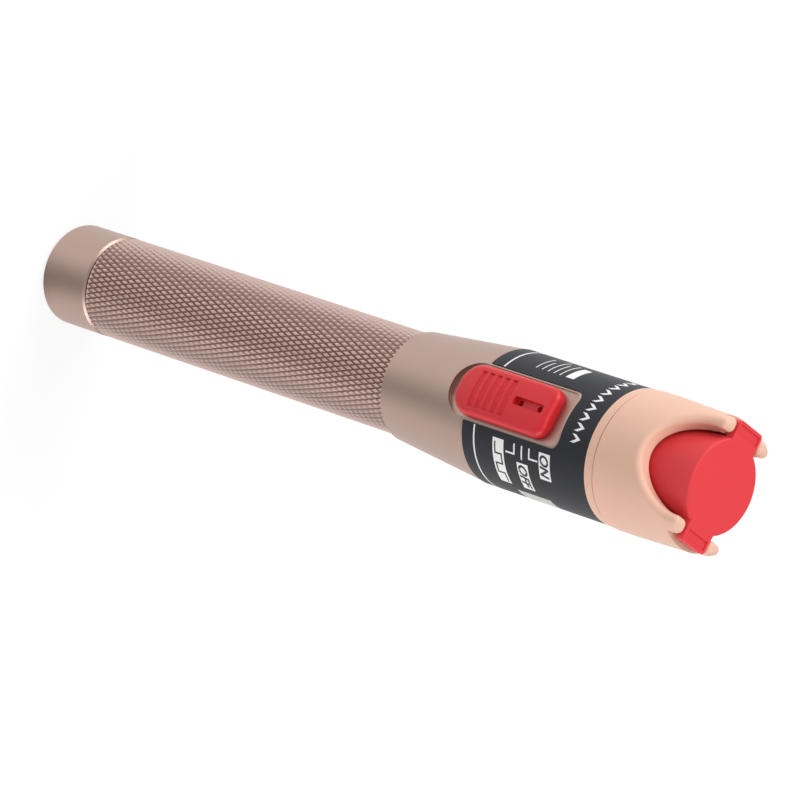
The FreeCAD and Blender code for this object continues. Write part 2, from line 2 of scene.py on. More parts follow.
# # A pen-shaped visual fault locator
# This lesson dresses a finished CAD model. The model brings every solid at its real size; here it gets
# its finishes, its fine knurl and its printed marks. We start by loading the solids as a fixed frame.

# %% Load the frame
import math

import bmesh
import bpy
from mathutils import Matrix, Vector


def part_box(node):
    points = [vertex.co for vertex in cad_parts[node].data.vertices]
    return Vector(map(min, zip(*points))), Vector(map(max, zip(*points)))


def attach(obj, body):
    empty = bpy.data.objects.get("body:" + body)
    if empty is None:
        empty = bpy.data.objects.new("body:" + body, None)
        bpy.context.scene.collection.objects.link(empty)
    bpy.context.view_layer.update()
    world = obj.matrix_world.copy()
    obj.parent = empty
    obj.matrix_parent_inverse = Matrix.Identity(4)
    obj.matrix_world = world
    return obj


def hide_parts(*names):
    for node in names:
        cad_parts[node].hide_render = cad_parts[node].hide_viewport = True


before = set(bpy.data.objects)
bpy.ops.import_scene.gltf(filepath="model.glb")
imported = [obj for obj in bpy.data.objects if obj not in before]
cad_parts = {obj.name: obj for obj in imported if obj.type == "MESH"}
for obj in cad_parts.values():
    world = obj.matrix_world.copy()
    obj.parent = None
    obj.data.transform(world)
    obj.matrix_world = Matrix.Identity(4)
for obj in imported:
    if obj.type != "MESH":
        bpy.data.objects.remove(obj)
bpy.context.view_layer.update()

MM = 0.001
merge_gap = 0.002 * MM
print("solids loaded:", len(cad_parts))


def mm(length):
    """Length in millimetres as Blender's metres."""
    return length * MM


# %% [markdown]
# ## Places
# Every place comes from the solids' own boxes. The label's radius, for example, is half the width of
# the label's box. Only the sizes of printed marks are set here, because no solid carries them.

# %% Places from the solids
tail_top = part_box("tail_cap")[1][2]
sleeve_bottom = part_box("head_sleeve")[0][2]
tube_low, tube_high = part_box("battery_tube")[0][2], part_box("battery_tube")[1][2]
tube_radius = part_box("battery_tube")[1][0]
label_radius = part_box("label_wrap")[1][0]
label_bottom, label_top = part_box("label_wrap")[0][2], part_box("label_wrap")[1][2]
button_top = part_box("slide_button")[1][2]
print(f"grip from {tail_top / MM:.1f} to {sleeve_bottom / MM:.1f} mm")


# %% [markdown]
# ## Shader maths as plain Python
# A finish is a small network of nodes. Wiring it by hand is slow to read, so one class wraps a socket
# and lets `+`, `-`, `*` and `/` add the Math nodes. A second class owns the material and adds every
# other kind of node through a single method.

# %% A number that varies over a surface
class Field:
    """Wraps a node's output socket, so that sums on it add Math nodes."""

    def __init__(self, finish, socket):
        self.finish = finish
        self.socket = socket

    def join(self, operation, first, second):
        return self.finish.add("ShaderNodeMath", {"operation": operation}, {0: first, 1: second})

    def __add__(self, other):
        return self.join("ADD", self, other)

    def __radd__(self, other):
        return self.join("ADD", other, self)

    def __sub__(self, other):
        return self.join("SUBTRACT", self, other)

    def __rsub__(self, other):
        return self.join("SUBTRACT", other, self)

    def __mul__(self, other):
        return self.join("MULTIPLY", self, other)

    def __rmul__(self, other):
        return self.join("MULTIPLY", other, self)

    def __truediv__(self, other):
        return self.join("DIVIDE", self, other)


# %% A finish and the nodes that all finishes share
class Finish:
    """A material with one Principled shader, and short ways to vary its sockets."""

    def __init__(self, name, roughness, metallic=0.0, **constants):
        self.material = bpy.data.materials.new(name)
        self.material.use_nodes = True
        self.tree = self.material.node_tree
        self.shader = self.tree.nodes["Principled BSDF"]
        self.shader.inputs["Roughness"].default_value = roughness
        self.shader.inputs["Metallic"].default_value = metallic
        for socket, value in constants.items():
            self.shader.inputs[socket.replace("_", " ")].default_value = value
        self.place = self.add("ShaderNodeTexCoord", {}, {}, "Object")

    def add(self, kind, settings, sockets, output=0):
        node = self.tree.nodes.new(kind)
        for name, value in settings.items():
            setattr(node, name, value)
        for key, value in sockets.items():
            if isinstance(value, Field):
                self.tree.links.new(value.socket, node.inputs[key])
            else:
                node.inputs[key].default_value = value
        return Field(self, node.outputs[output])

    def feed(self, socket, field):
        self.tree.links.new(field.socket, self.shader.inputs[socket])

    def axes(self):
        split = self.add("ShaderNodeSeparateXYZ", {}, {0: self.place}).socket.node
        return [Field(self, output) for output in split.outputs]

    def stretched(self, scale):
        """Object coordinates with each axis scaled, for marks that run one way."""
        return self.add("ShaderNodeMapping", {}, {"Vector": self.place, "Scale": scale})

    def noise(self, scale, detail=3.0, place=None):
        sockets = {"Vector": place or self.place, "Scale": scale, "Detail": detail}
        return self.add("ShaderNodeTexNoise", {}, sockets, "Fac")

    def ramp(self, field, low, high):
        """0 below low, 1 above high, smooth between."""
        settings = {"interpolation_type": "SMOOTHSTEP"}
        return self.add("ShaderNodeMapRange", settings, {0: field, 1: low, 2: high})

    def blend(self, mask, first, second):
        settings = {"data_type": "RGBA"}
        sockets = {0: mask, 6: colour(first), 7: colour(second)}
        return self.add("ShaderNodeMix", settings, sockets, 2)

    def radius(self):
        """Distance from the pen's axis."""
        x, y, _ = self.axes()
        return self.add("ShaderNodeMath", {"operation": "SQRT"}, {0: x * x + y * y})

    def bump(self, height, strength, distance):
        sockets = {"Height": height, "Strength": strength, "Distance": distance}
        self.feed("Normal", self.add("ShaderNodeBump", {}, sockets, "Normal"))


def colour(value):
    """A plain colour as four numbers, or a field as it is."""
    return value if isinstance(value, Field) else (*value, 1.0)


# %% [markdown]
# ## Metal finishes
# The tail cap and the sleeve are turned aluminium under a satin, rose-tinted anodising. A lathe leaves
# very fine rings round the axis, which soften the highlight. We could use a ring pattern, but its even
# spacing looks drawn. Noise that is squeezed hard along the axis gives uneven rings instead.

# %% Champagne anodised aluminium
champagne = (0.56, 0.405, 0.345)
champagne_deep = (0.47, 0.335, 0.285)


def anodised(name, roughness):
    finish = Finish(name, roughness, metallic=1.0)
    rings = finish.noise(mm(1), 4.0, finish.stretched((300.0, 300.0, 9.0e6)))
    cloud = finish.noise(90.0, 2.0)
    finish.feed("Base Color", finish.blend(cloud * 0.6 + rings * 0.4, champagne_deep, champagne))
    finish.feed("Roughness", roughness - 0.04 + rings * 0.08)
    finish.bump(rings, 0.12, mm(0.02))
    return finish.material


champagne_finish = anodised("champagne_anodised", 0.42)

# %% [markdown]
# The grip has the same colour, but its diamonds change how it reads: the crests are rubbed bright, and the
# valleys get painted shade. The distance from the axis tells a shader where it is on a diamond, so a ramp
# on that distance paints shade into the valleys and puts the lighter rubbed tone on the crests.

# %% Knurled grip
knurl_depth = mm(0.42)
# The darker valley tone is painted shade; the lighter crest tone is rubbed wear.
painted_valley_shade_tone, crest_tone, worn_tone = (0.50, 0.355, 0.325), (0.69, 0.515, 0.475), (0.50, 0.40, 0.33)


def knurled():
    finish = Finish("knurled_anodised", 0.4, metallic=1.0)
    # Painted shade: this ramp darkens the colour in the valleys, and the crests take the rubbed, lighter
    # tone.
    crest_wear_and_valley_shade = finish.ramp(finish.radius(), tube_radius - knurl_depth, tube_radius - knurl_depth * 0.25)
    grain = finish.noise(2500.0, 3.0)
    tone = finish.blend(crest_wear_and_valley_shade, painted_valley_shade_tone, crest_tone)
    finish.feed("Base Color", finish.blend(grain * 0.25, tone, worn_tone))
    finish.feed("Roughness", 0.50 - crest_wear_and_valley_shade * 0.14 + grain * 0.06)
    finish.bump(grain, 0.1, mm(0.02))
    return finish.material


knurl_finish = knurled()

# %% [markdown]
# ## Moulded plastics
# Three plastics are in view: the satin red of the button, the softer red of the dust cap, and the
# peach of the nose guard. Moulded parts are never one flat tone. A broad, faint cloud shifts the
# colour, and a fine grain breaks up the highlight.

# %% Moulded plastics
def moulded(name, main, shade, roughness, grain_scale, grain_height, **constants):
    finish = Finish(name, roughness, **constants)
    cloud = finish.noise(140.0, 2.0)
    grain = finish.noise(grain_scale, 4.0)
    finish.feed("Base Color", finish.blend(cloud * 0.7 + grain * 0.3, shade, main))
    finish.feed("Roughness", roughness - 0.05 + grain * 0.1)
    finish.bump(grain, 0.25, grain_height)
    return finish.material


button_finish = moulded("red_button", (0.72, 0.022, 0.030), (0.60, 0.014, 0.022), 0.38, 4200.0, mm(0.012),
                        Specular_IOR_Level=0.35, Coat_Weight=0.06, Coat_Roughness=0.25)
cap_finish = moulded("red_elastomer", (0.76, 0.045, 0.055), (0.68, 0.034, 0.045), 0.55, 3000.0, mm(0.02),
                     Specular_IOR_Level=0.4)
guard_finish = moulded("guard_plastic", (0.80, 0.50, 0.375), (0.74, 0.44, 0.32), 0.48, 3600.0, mm(0.012))
label_finish = moulded("label_film", (0.022, 0.023, 0.030), (0.014, 0.015, 0.020), 0.5, 5200.0, mm(0.008),
                       Specular_IOR_Level=0.3)
ink_finish = moulded("white_ink", (0.88, 0.88, 0.87), (0.80, 0.80, 0.79), 0.55, 6000.0, mm(0.006))
paper_finish = moulded("pale_paper", (0.60, 0.59, 0.56), (0.54, 0.53, 0.50), 0.7, 2600.0, mm(0.01))
dark_ink_finish = moulded("dark_ink", (0.03, 0.03, 0.035), (0.02, 0.02, 0.025), 0.5, 6000.0, mm(0.006))

# %% [markdown]
# ## Inner parts
# Most inner parts show only when the cap or the tail cap is off. They share one recipe for metal and
# the moulded recipe above, each with its own colour.

# %% Metals and plastics inside the pen
def plain_metal(name, light, dark, roughness):
    finish = Finish(name, roughness, metallic=1.0)
    turning = finish.noise(mm(1), 3.0, finish.stretched((400.0, 400.0, 6.0e6)))
    finish.feed("Base Color", finish.blend(turning, dark, light))
    finish.feed("Roughness", roughness - 0.06 + turning * 0.12)
    finish.bump(turning, 0.15, mm(0.02))
    return finish.material


steel_finish = plain_metal("steel", (0.66, 0.66, 0.67), (0.52, 0.52, 0.54), 0.3)
spring_finish = plain_metal("spring_steel", (0.6, 0.6, 0.62), (0.44, 0.44, 0.46), 0.32)
brass_finish = plain_metal("brass", (0.76, 0.58, 0.30), (0.62, 0.45, 0.22), 0.3)
can_finish = plain_metal("capacitor_can", (0.74, 0.74, 0.76), (0.62, 0.62, 0.64), 0.34)
inner_finishes = {
    "tail_contact": brass_finish,
    "tail_spring": spring_finish,
    "front_contact": brass_finish,
    "laser_holder": brass_finish,
    "lens_retainer": brass_finish,
    "laser_diode": steel_finish,
    "switch_body": steel_finish,
    "board_screws": steel_finish,
    "adapter_body": steel_finish,
    "adapter_nut": steel_finish,
    "board_capacitor": can_finish,
    "tail_seal": moulded("seal_rubber", (0.03, 0.03, 0.03), (0.02, 0.02, 0.02), 0.6, 3000.0, mm(0.01)),
    "contact_insulator": moulded("white_plastic", (0.8, 0.8, 0.77), (0.72, 0.72, 0.69), 0.5, 3000.0,
                                 mm(0.01)),
    "switch_lever": moulded("black_plastic", (0.03, 0.03, 0.03), (0.02, 0.02, 0.02), 0.5, 3000.0, mm(0.01)),
    "driver_board": moulded("circuit_board", (0.03, 0.19, 0.09), (0.02, 0.13, 0.06), 0.4, 900.0, mm(0.01)),
    "driver_chip": moulded("chip_resin", (0.03, 0.03, 0.032), (0.02, 0.02, 0.02), 0.6, 5000.0, mm(0.01)),
    "ferrule_sleeve": moulded("ceramic", (0.86, 0.86, 0.83), (0.80, 0.80, 0.77), 0.2, 3000.0, mm(0.004)),
    "rear_cell": moulded("cell_wrapper", (0.05, 0.09, 0.13), (0.04, 0.07, 0.10), 0.3, 900.0, mm(0.01)),
}
inner_finishes["tube_seal"] = inner_finishes["tail_seal"]
inner_finishes["board_carrier"] = inner_finishes["switch_lever"]
inner_finishes["laser_board"] = inner_finishes["driver_board"]
inner_finishes["front_cell"] = inner_finishes["rear_cell"]


def lens_glass():
    finish = Finish("optical_glass", 0.05, Transmission_Weight=1.0, IOR=1.52)
    coating = finish.noise(300.0, 1.0)
    finish.feed("Base Color", finish.blend(coating, (0.86, 0.93, 1.0), (0.95, 0.98, 1.0)))
    return finish.material


inner_finishes["focus_lens"] = lens_glass()

# %% [markdown]
# The solids come with their shapes done, so dressing one only means putting a finish in its material
# slots. We keep the outer parts in a list of their own, because they are what the photo shows.

# %% Dress the solids whose shape is already right
outer_finishes = {
    "tail_cap": champagne_finish,
    "head_sleeve": champagne_finish,
    "label_wrap": label_finish,
    "slide_button": button_finish,
    "nose_guard": guard_finish,
    "dust_cap": cap_finish,
}


def dress(node, material):
    """Give a solid its finish; its mesh and its place stay as they are."""
    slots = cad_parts[node].material_slots
    for slot in slots:
        slot.material = material


for node, material in {**outer_finishes, **inner_finishes}.items():
    dress(node, material)
print("solids dressed:", len(outer_finishes) + len(inner_finishes))


# %% [markdown]
# ## Small helpers for modelling
# Operators act on whatever is selected, so each step starts by clearing the selection. A finished
# piece keeps its object at the origin and carries its place in its mesh, as the solids do.

# %% Modelling helpers
def start_fresh():
    bpy.ops.object.select_all(action="DESELECT")


def settle(piece, name, material, body):
    """Bake the place into the mesh, name the piece and tie it to its body."""
    start_fresh()
    piece.select_set(True)
    bpy.context.view_layer.objects.active = piece
    bpy.ops.object.transform_apply(location=True, rotation=True, scale=True)
    piece.name = name
    piece.data.name = name
    piece.data.materials.clear()
    piece.data.materials.append(material)
    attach(piece, body)
    print(f"{name}: {len(piece.data.polygons)} faces")


def apply_modifier(piece, kind, **settings):
    start_fresh()
    bpy.context.view_layer.objects.active = piece
    piece.select_set(True)
    modifier = piece.modifiers.new(kind, kind)
    for name, value in settings.items():
        setattr(modifier, name, value)
    bpy.ops.object.modifier_apply(modifier=modifier.name)


def tidy_mesh(piece):
    """Merge doubles and point every face outwards."""
    start_fresh()
    bpy.context.view_layer.objects.active = piece
    piece.select_set(True)
    bpy.ops.object.mode_set(mode="EDIT")
    bpy.ops.mesh.select_all(action="SELECT")
    bpy.ops.mesh.remove_doubles(threshold=merge_gap)
    bpy.ops.mesh.normals_make_consistent(inside=False)
    bpy.ops.object.mode_set(mode="OBJECT")


# %% [markdown]
# ## The knurl
# A knurling tool rolls two sets of crossing grooves into the tube and leaves rows of small diamonds.
# Cutting grooves in a mesh is slow, so we model one diamond and repeat it: one Array runs along the
# tube and a second one turns it round the axis. A copy shifted by half a diamond both ways fills the
# gaps. The diamond has a shoulder and a small flat top, because rolled metal has no sharp tips.

# %% One diamond
diamonds_round = 60
diamond_length = mm(3.2)
plain_neck = mm(0.65)
half_turn = math.pi / diamonds_round
root_radius = tube_radius - knurl_depth
grip_bottom = tail_top + plain_neck
shoulder_share, shoulder_height = 0.62, 0.72
top_share = 0.34
smooth_below = 38


def diamond_ring(share, reach, rows):
    """Four corners of a diamond, smaller by share, at a distance from the pen's axis."""
    corners = []
    for across, along in ((-1, 0), (0, -1), (1, 0), (0, 1)):
        angle = across * half_turn * share
        corners.append(Vector((reach * math.sin(angle), -reach * math.cos(angle),
                               along * diamond_length / 2 * share + rows * diamond_length / 2)))
    return corners


def make_diamond(rows, turn):
    """One diamond from a cone of four sides, its top drawn out once more."""
    start_fresh()
    bpy.ops.mesh.primitive_cone_add(vertices=4, radius1=mm(1), radius2=mm(0.6), depth=mm(0.4),
                                    end_fill_type="NOTHING")
    piece = bpy.context.active_object
    bpy.ops.object.mode_set(mode="EDIT")
    mesh = bmesh.from_edit_mesh(piece.data)
    for face in mesh.faces:
        face.select = False
    top_edges = [edge for edge in mesh.edges if all(corner.co.z > 0 for corner in edge.verts)]
    for edge in mesh.edges:
        edge.select = edge in top_edges
    mesh.select_flush(True)
    bmesh.update_edit_mesh(piece.data)
    bpy.ops.mesh.extrude_edges_move(TRANSFORM_OT_translate={"value": (0, 0, mm(0.2))})
    bpy.ops.transform.resize(value=(0.5, 0.5, 1))
    bpy.ops.mesh.edge_face_add()
    mesh = bmesh.from_edit_mesh(piece.data)
    levels = sorted({round(corner.co.z, 7) for corner in mesh.verts})
    rings = [
        diamond_ring(1.0, root_radius, rows),
        diamond_ring(shoulder_share, root_radius + knurl_depth * shoulder_height, rows),
        diamond_ring(top_share, tube_radius, rows),
    ]
    for level, ring in zip(levels, rings):
        around = [corner for corner in mesh.verts if abs(corner.co.z - level) < 1e-6]
        around.sort(key=lambda corner: math.atan2(corner.co.y, corner.co.x))
        for corner, spot in zip(around, ring):
            corner.co = Matrix.Rotation(turn, 4, "Z") @ spot
    bmesh.update_edit_mesh(piece.data)
    bpy.ops.object.mode_set(mode="OBJECT")
    return piece


# %% [markdown]
# Two diamonds are enough to start with: one at a full row and one shifted by half. The first Array
# steps them up the tube. The second uses an empty that is turned by one diamond, and merges as it goes.

# %% Repeat it over the grip
rows_along = math.ceil((sleeve_bottom - grip_bottom) / diamond_length) + 2
even, odd = make_diamond(0, 0.0), make_diamond(1, half_turn)
start_fresh()
even.select_set(True)
odd.select_set(True)
bpy.context.view_layer.objects.active = even
bpy.ops.object.join()
knurl = even
apply_modifier(knurl, "ARRAY", count=rows_along, use_relative_offset=False, use_constant_offset=True,
               constant_offset_displace=(0, 0, diamond_length))
start_fresh()
bpy.ops.object.empty_add()
turner = bpy.context.active_object
turner.rotation_euler.z = 2 * half_turn
apply_modifier(knurl, "ARRAY", count=diamonds_round, use_relative_offset=False, use_object_offset=True,
               offset_object=turner, use_merge_vertices=True, merge_threshold=merge_gap)
bpy.data.objects.remove(turner)
for corner in knurl.data.vertices:
    corner.co.z += grip_bottom - diamond_length
tidy_mesh(knurl)
print(f"knurl: {len(knurl.data.polygons)} faces")

# %% [markdown]
# The sheet of diamonds is now cut square at both ends with Bisect. From each cut edge we extrude ring
# after ring: the plain neck, the spigot with the seal's groove, and the bore that holds the cells. The
# last two rings are bridged, so the tube ends as one closed body.

# %% Cut the ends and draw out the plain parts
cell_gap, spigot_wall, neck_step = mm(0.4), mm(1.35), mm(0.55)
seal_gap, groove_depth, cap_gap = mm(0.05), mm(1.0), mm(0.05)
bore_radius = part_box("rear_cell")[1][0] + cell_gap
rear_spigot_radius = bore_radius + spigot_wall
front_spigot_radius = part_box("tube_seal")[1][0] + seal_gap
neck_radius = tube_radius - neck_step
neck_bottom = tail_top + cap_gap


def open_knurl_editing():
    start_fresh()
    bpy.context.view_layer.objects.active = knurl
    knurl.select_set(True)
    bpy.ops.object.mode_set(mode="EDIT")


def cut_square(height, upper):
    """Cut the sheet with a level plane and drop what is beyond it."""
    bpy.ops.mesh.select_all(action="SELECT")
    bpy.ops.mesh.bisect(plane_co=(0, 0, height), plane_no=(0, 0, 1),
                        clear_outer=upper, clear_inner=not upper)


def select_ring(height):
    """Select the open edges at one height."""
    mesh = bmesh.from_edit_mesh(knurl.data)
    for face in mesh.faces:
        face.select = False
    for edge in mesh.edges:
        level = all(abs(corner.co.z - height) < mm(0.01) for corner in edge.verts)
        edge.select = edge.is_boundary and level
    mesh.select_flush(True)
    bmesh.update_edit_mesh(knurl.data)


def draw_out(steps):
    """Extrude the selected ring through (radius, height) steps, each a true circle."""
    for radius, height in steps:
        bpy.ops.mesh.extrude_edges_move()
        mesh = bmesh.from_edit_mesh(knurl.data)
        for corner in mesh.verts:
            if corner.select:
                flat = Vector((corner.co.x, corner.co.y, 0)).normalized() * radius
                corner.co = (flat.x, flat.y, height)
        bmesh.update_edit_mesh(knurl.data)


def groove_steps(radius, seal):
    """Steps into and out of a seal's groove, from the far side to the near side."""
    low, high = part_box(seal)[0][2] - seal_gap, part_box(seal)[1][2] + seal_gap
    floor = radius - groove_depth
    return [(radius, high), (floor, high), (floor, low), (radius, low)]


open_knurl_editing()
cut_square(grip_bottom, False)
cut_square(sleeve_bottom, True)
select_ring(grip_bottom)
draw_out([(neck_radius, grip_bottom), (neck_radius, neck_bottom), (rear_spigot_radius, neck_bottom)]
         + groove_steps(rear_spigot_radius, "tail_seal")
         + [(rear_spigot_radius, tube_low), (bore_radius, tube_low)])
select_ring(sleeve_bottom)
draw_out([(front_spigot_radius, sleeve_bottom)]
         + groove_steps(front_spigot_radius, "tube_seal")[::-1]
         + [(front_spigot_radius, tube_high), (bore_radius, tube_high)])
mesh = bmesh.from_edit_mesh(knurl.data)
for face in mesh.faces:
    face.select = False
for edge in mesh.edges:
    edge.select = edge.is_boundary
mesh.select_flush(True)
bmesh.update_edit_mesh(knurl.data)
bpy.ops.mesh.bridge_edge_loops()
bpy.ops.object.mode_set(mode="OBJECT")
tidy_mesh(knurl)
start_fresh()
knurl.select_set(True)
bpy.context.view_layer.objects.active = knurl
bpy.ops.object.shade_smooth_by_angle(angle=math.radians(smooth_below))
settle(knurl, "knurled_grip", knurl_finish, "case")
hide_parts("battery_tube")


# %% [markdown]
# ## Printed marks
# The label's print is drawn flat, as on the film before it is wrapped: X runs round the pen from the
# button, and Z runs along it. Each mark is a plain shape, cut fine enough to bend, and one function
# then rolls it onto the label.

# %% Flat shapes for the print
print_lift = mm(0.015)
print_thickness = mm(0.02)
line_width = mm(0.34)
strip_width = mm(0.8)
capital_share = 0.72
bolder, slant = mm(0.09), 0.2


def flat_bar(start, end, low, high):
    """Rectangle in the flat print, cut into narrow strips round the pen."""
    start_fresh()
    strips = max(1, math.ceil((end - start) / strip_width))
    bpy.ops.mesh.primitive_grid_add(x_subdivisions=strips, y_subdivisions=1, size=1)
    bar = bpy.context.active_object
    for corner in bar.data.vertices:
        across, along = corner.co.x + 0.5, corner.co.y + 0.5
        corner.co = (start + (end - start) * across, 0, low + (high - low) * along)
    return bar


def flat_text(words, start, end, low, height):
    """Bold letters that fill a width, their tops towards the light output."""
    start_fresh()
    bpy.ops.object.text_add()
    letters = bpy.context.active_object
    letters.data.body = words
    letters.data.size = height / capital_share
    letters.data.offset = bolder
    letters.data.shear = slant
    letters.data.resolution_u = 4
    bpy.ops.object.convert(target="MESH")
    left = min(corner.co.x for corner in letters.data.vertices)
    right = max(corner.co.x for corner in letters.data.vertices)
    stretch = (end - start) / (right - left)
    for corner in letters.data.vertices:
        corner.co = (start + (corner.co.x - left) * stretch, 0, low + corner.co.y)
    return letters


def flat_chevron(middle, low, high, half_width, thickness):
    """A mark shaped like an arrow head that points towards the light output."""
    start_fresh()
    bpy.ops.mesh.primitive_grid_add(x_subdivisions=2, y_subdivisions=1, size=1)
    mark = bpy.context.active_object
    for corner in mark.data.vertices:
        across = corner.co.x * 2
        rise = (1 - abs(across)) * (high - low - thickness)
        along = low + rise + (thickness if corner.co.y > 0 else 0)
        corner.co = (middle + across * half_width, 0, along)
    return mark


def roll_on(flat_pieces, name, material, lift):
    """Join flat shapes, roll them onto the label and give the ink its thickness."""
    start_fresh()
    for piece in flat_pieces:
        piece.select_set(True)
    bpy.context.view_layer.objects.active = flat_pieces[0]
    bpy.ops.object.join()
    piece = bpy.context.active_object
    reach = label_radius + lift
    for corner in piece.data.vertices:
        angle = corner.co.x / label_radius
        corner.co = (reach * math.sin(angle), -reach * math.cos(angle), corner.co.z)
    bpy.ops.object.mode_set(mode="EDIT")
    bpy.ops.mesh.select_all(action="SELECT")
    bpy.ops.mesh.remove_doubles(threshold=merge_gap)
    bpy.ops.object.mode_set(mode="OBJECT")
    mesh = bmesh.new()
    mesh.from_mesh(piece.data)
    for face in mesh.faces:
        middle = face.calc_center_median()
        if face.normal.x * middle.x + face.normal.y * middle.y < 0:
            face.normal_flip()
    mesh.to_mesh(piece.data)
    mesh.free()
    apply_modifier(piece, "SOLIDIFY", thickness=print_thickness, offset=-1)
    settle(piece, name, material, "case")


def round_the_pen(degrees):
    """Distance round the label for an angle from the button, towards +X."""
    return math.radians(degrees) * label_radius


# %% [markdown]
# The three switch positions are printed as white boxes with lead lines to the button's pointer: a
# pulse for flashing, OFF, and ON. The maker's wording has no place on this part, so a row of chevrons
# stands where the large words go, thin lines stand for the small print, and a bare pale patch holds
# the place of the sticker underneath.

# %% Boxes with their words
travel = mm(1.9)
pointer = button_top - mm(4.9)
pulse_bottom, off_bottom, on_bottom = pointer - mm(7.4), pointer - mm(1.35), pointer + mm(4.4)
boxes = [
    ("pulse", pulse_bottom, 32.5, 74.5),
    ("OFF", off_bottom, 47.5, 74.0),
    ("ON", on_bottom, 32.5, 56.0),
]
box_height = mm(2.8)
side_margin = 1.8
letter_margin, letter_height = mm(0.35), mm(2.1)
white_marks = []
dark_marks = []
for words, low, start, end in boxes:
    white_marks.append(flat_bar(round_the_pen(start), round_the_pen(end), low, low + box_height))
    if words != "pulse":
        left, right = round_the_pen(start + side_margin), round_the_pen(end - side_margin)
        dark_marks.append(flat_text(words, left, right, low + letter_margin, letter_height))
print("boxes:", len(boxes))

# %% Pulse
pulse_margin = mm(0.6)
pulse_low = pulse_bottom + pulse_margin
pulse_high = pulse_bottom + box_height - pulse_margin
pulse_left, pulse_step = round_the_pen(35.5), round_the_pen(9.0)
for index in range(4):
    left = pulse_left + index * pulse_step
    level = pulse_high if index % 2 else pulse_low
    dark_marks.append(flat_bar(left, left + pulse_step + line_width, level - line_width / 2,
                               level + line_width / 2))
    if index:
        dark_marks.append(flat_bar(left, left + line_width, pulse_low, pulse_high))

print("dark marks:", len(dark_marks))

# %% [markdown]
# A lead line starts at the window's edge, level with the pointer at each of its three places. The two
# outer ones turn a corner to reach their boxes, and the middle one runs straight on.

# %% Lead lines, one for each place of the button
lead_start, lead_end = round_the_pen(32.5), round_the_pen(42.0)
off_gap, foot_length = mm(0.5), mm(2.0)
for side in (-1, 0, 1):
    line = pointer + side * travel - line_width / 2
    stop = lead_end if side else lead_end + off_gap
    white_marks.append(flat_bar(lead_start, stop, line, line + line_width))
    if side:
        low = min(line, line + side * foot_length)
        white_marks.append(flat_bar(lead_end - line_width, lead_end, low, low + foot_length + line_width))
print("white marks so far:", len(white_marks))

# %% [markdown]
# The large words run right round the label near its upper edge. The chevrons take up the same band and
# the same rhythm, so the label keeps its weight without saying anything.

# %% Chevrons in place of the large words
chevron_count = 17
first_chevron, chevron_step = 13, 9.6
chevron_low, chevron_high = label_top - mm(4.6), label_top - mm(2.3)
chevron_half_width, chevron_thickness = mm(0.8), mm(0.95)
for index in range(chevron_count):
    middle = round_the_pen(first_chevron - index * chevron_step)
    white_marks.append(flat_chevron(middle, chevron_low, chevron_high, chevron_half_width, chevron_thickness))
print("chevrons:", chevron_count)

# %% Thin lines and a block in place of the small print
print_right = round_the_pen(-38.0)
small_lines = (5.2, 3.6, 6.4, 4.4, 5.6)
first_line, line_step, small_line_width = 9.0, 1.5, mm(0.22)
for index, length in enumerate(small_lines):
    row = label_bottom + mm(first_line + index * line_step)
    white_marks.append(flat_bar(print_right - mm(length), print_right, row, row + small_line_width))

block_low = label_bottom + mm(16.6)
block_width, block_height = mm(5.0), mm(2.0)
white_marks.append(flat_bar(print_right - block_width, print_right, block_low, block_low + block_height))
print("thin lines:", len(small_lines))

# %% [markdown]
# A thin line runs round the label and stops at the button's window. The last step joins the marks of
# each ink and rolls them on: white first, then the dark ink one layer higher.

# %% Ring line and sticker, and all marks rolled on
ring_low, ring_width = label_bottom + mm(2.95), mm(0.36)
window_edge = 27.6
white_marks.append(flat_bar(round_the_pen(window_edge), round_the_pen(360 - window_edge), ring_low,
                            ring_low + ring_width))
patch_start, patch_end = round_the_pen(82), round_the_pen(140)
patch_low, patch_high = pointer - mm(4.3), pointer + mm(4.1)
pale_patch = flat_bar(patch_start, patch_end, patch_low, patch_high)
roll_on(white_marks, "printed_marks", ink_finish, print_lift)
roll_on(dark_marks, "box_lettering", dark_ink_finish, print_lift + print_thickness)
roll_on([pale_patch], "sticker_place", paper_finish, print_lift)

# %% [markdown]
# ## Stage, light and camera
# The pen stands on a pale floor. Three large soft lamps light it: one high on the left, a weaker one on
# the right and a faint one overhead. The world fills in the rest. The floor shows white to the camera
# and in reflections, yet keeps a little of the pen's shadow. A dark strip in the floor's material, which
# only reflections see, puts the soft dark band down the metal that a photographer would put there.

# %% Floor
camera_azimuth = 12.75
strip_azimuth = 30.0
strip_half_angle = 44.0
strip_glow = 0.3
floor_glow = 1.04
glow_share = 0.8
floor_size = 6.0


